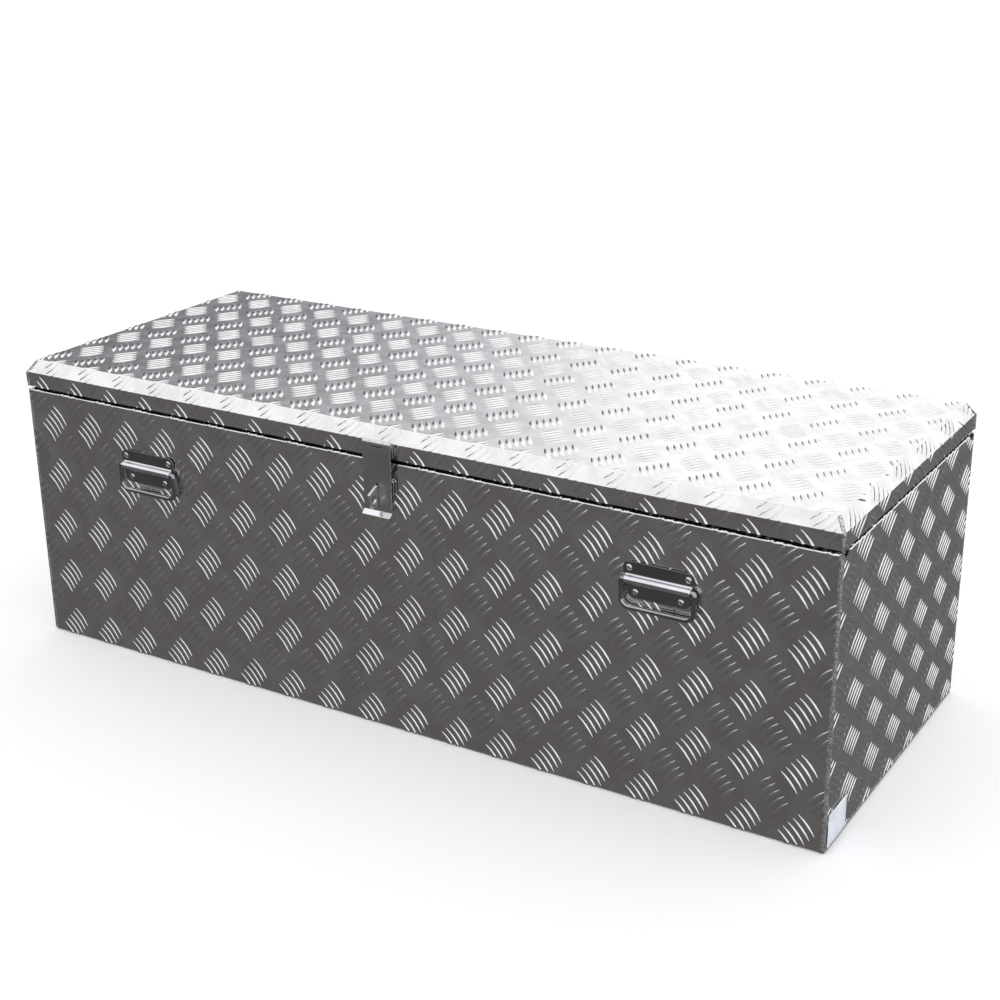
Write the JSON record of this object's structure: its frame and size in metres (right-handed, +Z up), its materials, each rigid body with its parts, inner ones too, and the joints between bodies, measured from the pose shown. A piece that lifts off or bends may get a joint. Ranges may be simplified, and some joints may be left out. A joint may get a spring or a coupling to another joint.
{
  "type": "truck tool box",
  "caption": "Lockable aluminium tread-plate truck tool box with a hinged lid on stays, a hasp with a turning eye, and drop handles on the front.",
  "frame": {"origin": "centre of the underside, on the surface that the box rests on", "axes": "+X along the length to the right end as seen from the front, +Y from the front to the hinged rear, +Z up"},
  "size_m": [1.0006, 0.4148, 0.3435],
  "materials": {
    "tread_plate": "mill-finish five-bar tread plate, lightly brushed",
    "weld": "weld bead, ground",
    "hinge_aluminium": "satin",
    "rivet": "satin domed head",
    "polished_steel": "polished",
    "satin_steel": "dark satin",
    "zinc_steel": "zinc plated",
    "rubber": "matt",
    "label": "matt white"
  },
  "bodies": {
    "box": {"body_wrap": "tread_plate", "end_panel_left": "tread_plate", "end_panel_right": "tread_plate", "end_weld_left": "weld", "end_weld_right": "weld", "rim_seal": "rubber", "label": "label", "hinge_body_leaf": "hinge_aluminium", "hinge_pin": "hinge_aluminium", "hasp_keeper_plate": "satin_steel", "keeper_rivet_left": "rivet", "keeper_rivet_right": "rivet", "stay_stud_left": "zinc_steel", "stay_stud_right": "zinc_steel", "handle_left_plate": "polished_steel", "handle_right_plate": "polished_steel", "hinge_rivet_body_1": "rivet", "hinge_rivet_body_2": "rivet", "hinge_rivet_body_3": "rivet", "hinge_rivet_body_4": "rivet", "hinge_rivet_body_5": "rivet", "hinge_rivet_body_6": "rivet", "handle_left_rivet_1": "rivet", "handle_left_rivet_2": "rivet", "handle_left_rivet_3": "rivet", "handle_left_rivet_4": "rivet", "handle_right_rivet_1": "rivet", "handle_right_rivet_2": "rivet", "handle_right_rivet_3": "rivet", "handle_right_rivet_4": "rivet"},
    "lid": {"lid_shell": "tread_plate", "hinge_lid_leaf": "hinge_aluminium", "hasp_lid_leaf": "satin_steel", "hasp_pin": "satin_steel", "hasp_rivet_left": "rivet", "hasp_rivet_right": "rivet", "lid_bracket_left": "zinc_steel", "lid_bracket_right": "zinc_steel", "stay_pin_left": "zinc_steel", "stay_pin_right": "zinc_steel", "hinge_rivet_lid_1": "rivet", "hinge_rivet_lid_2": "rivet", "hinge_rivet_lid_3": "rivet", "hinge_rivet_lid_4": "rivet", "hinge_rivet_lid_5": "rivet", "hinge_rivet_lid_6": "rivet"},
    "stay_left": {"stay_arm_left": "zinc_steel"},
    "stay_right": {"stay_arm_right": "zinc_steel"},
    "hasp": {"hasp_strap": "satin_steel"},
    "eye": {"lock_eye": "satin_steel"},
    "bail_left": {"handle_left_bail": "polished_steel"},
    "bail_right": {"handle_right_bail": "polished_steel"}
  },
  "joints": [
    {"name": "lid_hinge", "type": "hinge", "parent": "box", "child": "lid", "pos_m": [0, 0.1963, 0.311], "axis": [-1, 0, 0], "range_deg": [0, 85]},
    {"name": "stay_pivot_left", "type": "hinge", "parent": "lid", "child": "stay_left", "pos_m": [-0.4765, 0.07672, 0.32104], "axis": [-1, 0, 0], "range_deg": [-42.5, 0]},
    {"name": "stay_pivot_right", "type": "hinge", "parent": "lid", "child": "stay_right", "pos_m": [0.4765, 0.07672, 0.32104], "axis": [-1, 0, 0], "range_deg": [-42.5, 0]},
    {"name": "hasp_swing", "type": "hinge", "parent": "lid", "child": "hasp", "pos_m": [0, -0.1965, 0.329], "axis": [-1, 0, 0], "range_deg": [0, 120]},
    {"name": "eye_turn", "type": "hinge", "parent": "hasp", "child": "eye", "pos_m": [0, -0.2, 0.2735], "axis": [0, 1, 0], "range_deg": [0, 90]},
    {"name": "left_bail_swing", "type": "hinge", "parent": "box", "child": "bail_left", "pos_m": [-0.32, -0.1975, 0.2417], "axis": [-1, 0, 0], "range_deg": [0, 90]},
    {"name": "right_bail_swing", "type": "hinge", "parent": "box", "child": "bail_right", "pos_m": [0.32, -0.1975, 0.2417], "axis": [-1, 0, 0], "range_deg": [0, 90]}
  ],
  "couplings": [
    {"joint": "stay_pivot_left", "follows": "lid_hinge", "ratio": -0.5},
    {"joint": "stay_pivot_right", "follows": "lid_hinge", "ratio": -0.5}
  ]
}
